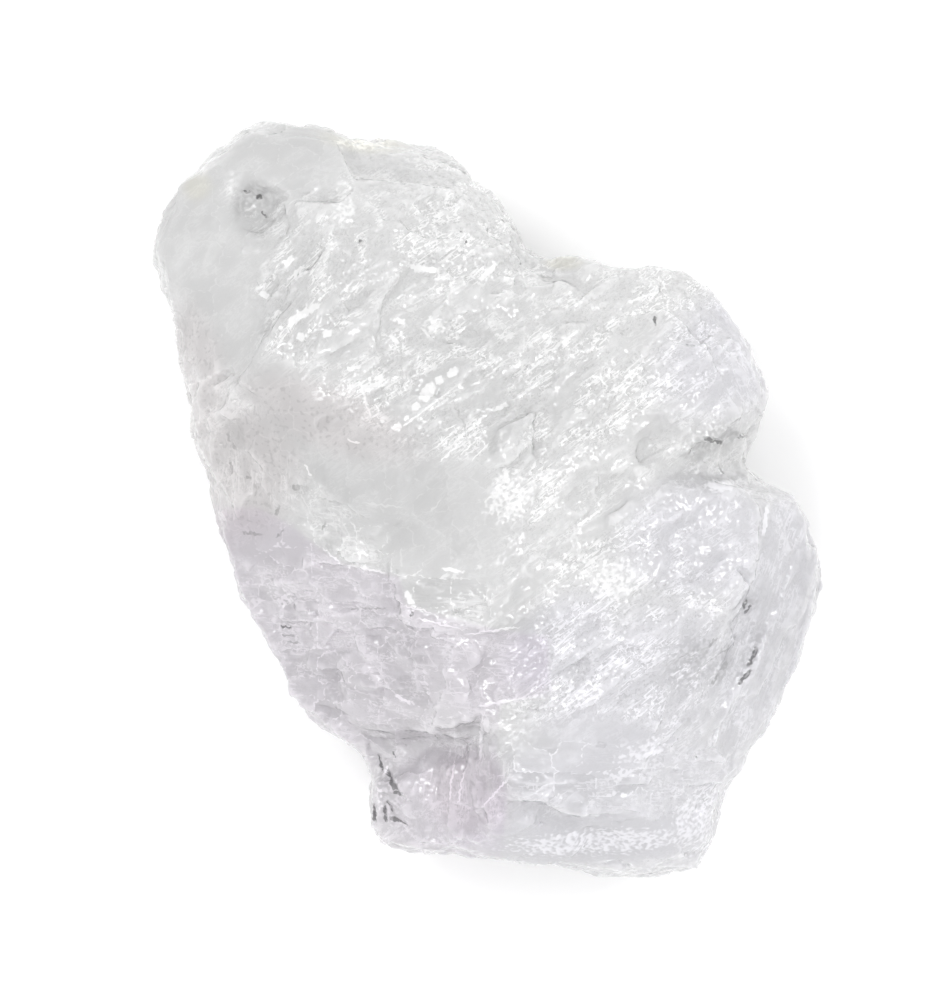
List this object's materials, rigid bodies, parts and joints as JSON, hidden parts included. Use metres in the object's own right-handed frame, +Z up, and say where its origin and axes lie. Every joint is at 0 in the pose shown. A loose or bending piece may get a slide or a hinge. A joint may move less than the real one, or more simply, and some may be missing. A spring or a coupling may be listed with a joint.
{
  "type": "alum stone",
  "caption": "Rough broken lump of clear to frosty alum crystal, with flat faces, ledges and a notched outline, lying on a flat broken face.",
  "frame": {"origin": "middle of the lump's box, on the flat face that it rests on", "axes": "+Z up from the resting face through the broadest face, +Y along the lump's length towards its smooth upper lobe"},
  "size_m": [0.0536, 0.0606, 0.0278],
  "materials": {
    "alum": "frosty, broken crystal, glassy on its fresh faces"
  },
  "bodies": {
    "root": {"alum_stone": "alum"}
  },
  "joints": []
}
